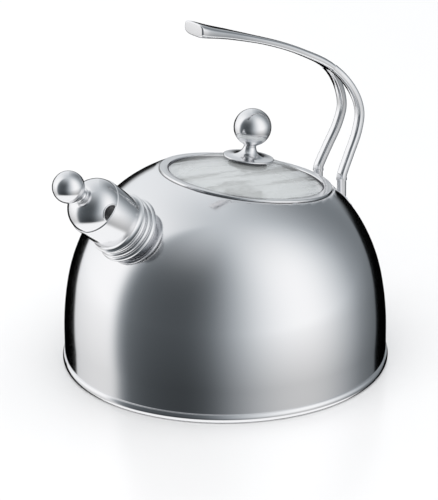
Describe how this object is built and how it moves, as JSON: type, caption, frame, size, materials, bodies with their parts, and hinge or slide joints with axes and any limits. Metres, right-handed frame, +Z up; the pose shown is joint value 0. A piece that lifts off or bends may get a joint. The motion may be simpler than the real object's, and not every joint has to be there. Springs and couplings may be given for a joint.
{
  "type": "stovetop whistling kettle",
  "caption": "Domed steel stove kettle with a lift-off glass lid, a pull-off whistle cap on its spout and a forked open handle.",
  "frame": {"origin": "centre of the flat underside, on the surface the kettle stands on", "axes": "+Z up; the spout points to -X, the handle stands at +X, and the XZ plane is the plane of symmetry"},
  "size_m": [0.2553, 0.22, 0.2428],
  "materials": {
    "polished_steel": "mirror-polished stainless steel",
    "satin_steel": "satin stainless steel",
    "aluminium": "plain rolled",
    "glass": "clear tempered glass",
    "silicone": "matt silicone rubber"
  },
  "bodies": {
    "kettle": {"body_shell": "polished_steel", "base_pan": "polished_steel", "heat_disc": "aluminium", "base_cover": "satin_steel", "spout_tube": "satin_steel", "spout_collar": "polished_steel", "handle": "polished_steel", "handle_boss_left": "polished_steel", "handle_boss_right": "polished_steel", "handle_screws": "satin_steel", "handle_washers": "satin_steel", "handle_seals": "silicone"},
    "lid": {"lid_glass": "glass", "lid_rim": "polished_steel", "lid_gasket": "silicone", "knob_ball": "polished_steel", "knob_base": "polished_steel", "knob_washer_top": "silicone", "knob_washer_bottom": "silicone", "knob_steel_washer": "satin_steel", "knob_screw": "satin_steel"},
    "whistle": {"whistle_cap": "polished_steel", "whistle_seal": "silicone", "whistle_disc_inner": "satin_steel", "whistle_chamber": "satin_steel", "whistle_disc_outer": "satin_steel", "whistle_stem": "polished_steel", "whistle_ball": "polished_steel", "whistle_screw": "satin_steel"}
  },
  "joints": [
    {"name": "lid_lift", "type": "slide", "parent": "kettle", "child": "lid", "axis": [0.1725, 0, 0.985], "range_m": [0, 0.036]},
    {"name": "whistle_pull", "type": "slide", "parent": "kettle", "child": "whistle", "axis": [-0.749, 0, 0.6626], "range_m": [0, 0.03]}
  ]
}
